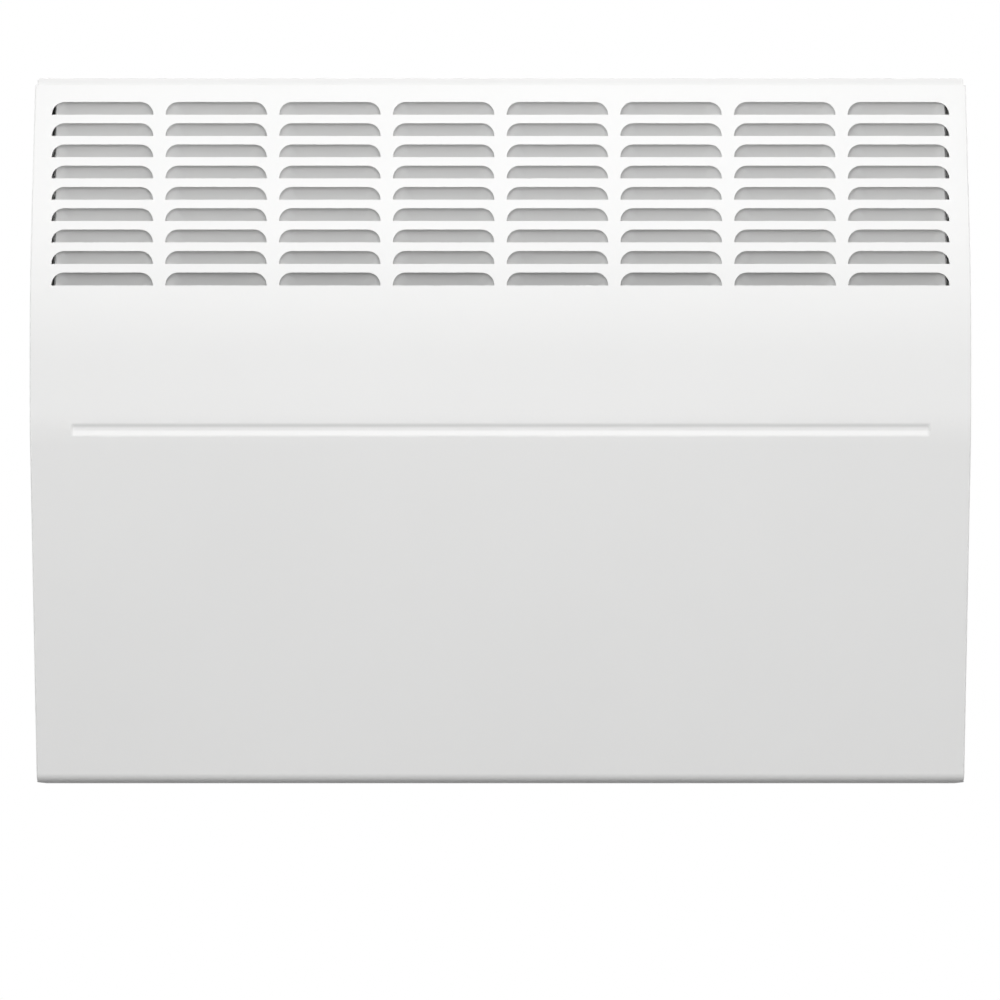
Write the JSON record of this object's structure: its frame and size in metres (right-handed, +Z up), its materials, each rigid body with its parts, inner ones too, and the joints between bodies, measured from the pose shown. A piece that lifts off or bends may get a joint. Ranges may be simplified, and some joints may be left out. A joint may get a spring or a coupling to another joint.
{
  "type": "wall panel convector heater",
  "caption": "Flat wall-hung electric convector: bowed sheet-steel front with rows of pressed louvres at the top, open base, side controls and a hook-on wall bracket.",
  "frame": {"origin": "on the wall plane, at the middle of the wall bracket's top rail", "axes": "+X to the right seen from the room, +Y into the wall, +Z up; the front faces -Y"},
  "size_m": [0.591, 0.098, 0.4439],
  "materials": {
    "powder_coat": "white semi-gloss powder coat with a fine texture",
    "zinc_steel": "zinc-plated steel",
    "aluminised_sheet": "dull rolled sheet",
    "element_steel": "heat-dulled steel",
    "white_plastic": "fine satin moulding",
    "dark_plastic": "black moulding",
    "ceramic": "unglazed steatite",
    "brass": "plain brass",
    "copper_tube": "soft copper",
    "black_rubber": "matt rubber",
    "brown_wire": "brown insulation",
    "blue_wire": "blue insulation",
    "green_wire": "green insulation"
  },
  "bodies": {
    "bracket": {"wall_bracket": "zinc_steel", "buffer_left": "black_rubber", "buffer_right": "black_rubber", "catch_spring_left": "zinc_steel", "catch_spring_right": "zinc_steel"},
    "heater": {"front_panel": "powder_coat", "rear_panel": "powder_coat", "inlet_grille": "powder_coat", "heat_deflector": "aluminised_sheet", "heating_element": "element_steel", "thermal_cutout": "dark_plastic", "element_bracket_left": "zinc_steel", "element_bracket_right": "zinc_steel", "insulator_left": "ceramic", "insulator_right": "ceramic", "terminal_left": "brass", "terminal_right": "brass", "hanger_left": "zinc_steel", "hanger_right": "zinc_steel", "control_bezel": "white_plastic", "control_housing": "white_plastic", "thermostat_body": "dark_plastic", "switch_body": "dark_plastic", "sensor_bulb": "copper_tube", "sensor_clip": "zinc_steel", "terminal_block": "white_plastic", "cable_clamp": "white_plastic", "cable_grommet": "black_rubber", "wire_live": "brown_wire", "wire_load": "brown_wire", "wire_neutral": "blue_wire", "wire_earth": "green_wire", "earth_stud": "brass", "casing_screw_1": "zinc_steel", "casing_screw_2": "zinc_steel", "casing_screw_3": "zinc_steel", "casing_screw_4": "zinc_steel"},
    "knob": {"thermostat_knob": "white_plastic", "thermostat_shaft": "brass"},
    "rocker": {"switch_rocker": "dark_plastic"}
  },
  "joints": [
    {"name": "swing_out", "type": "hinge", "parent": "bracket", "child": "heater", "pos_m": [0, -0.01915, 0.02735], "axis": [-1, 0, 0], "range_deg": [0, 22]},
    {"name": "thermostat_turn", "type": "hinge", "parent": "heater", "child": "knob", "pos_m": [0.2905, -0.058, -0.113], "axis": [0.9923, 0.124, 0], "range_deg": [-270, 0]},
    {"name": "rocker_tilt", "type": "hinge", "parent": "heater", "child": "rocker", "pos_m": [0.28157, -0.05912, -0.155], "axis": [-0.124, 0.9923, 0], "range_deg": [-14, 0]}
  ]
}
